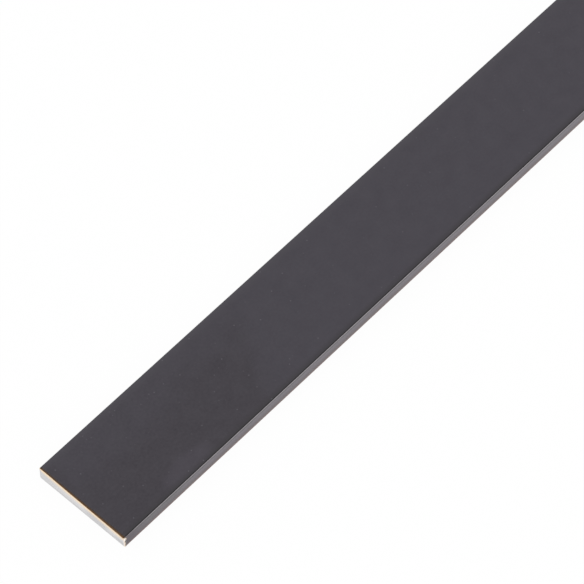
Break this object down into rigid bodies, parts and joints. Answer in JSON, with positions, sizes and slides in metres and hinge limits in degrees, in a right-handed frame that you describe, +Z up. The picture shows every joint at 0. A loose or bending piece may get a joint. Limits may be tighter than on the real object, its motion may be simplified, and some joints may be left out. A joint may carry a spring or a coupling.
{
  "type": "metal flat bar",
  "caption": "Long straight flat bar of dark anodised aluminium with a plain rectangular section, fine rounded arrises and bare cut ends, for brackets, frames, straps and trim.",
  "frame": {"origin": "underside of the bar, at the middle of its length and width", "axes": "+X along the bar, from the cut end that the picture shows towards the other end; +Y across the width; +Z up through the thickness"},
  "size_m": [0.5, 0.025, 0.004],
  "materials": {
    "anodised_film": "satin"
  },
  "bodies": {
    "root": {"flat_bar": "anodised_film"}
  },
  "joints": []
}
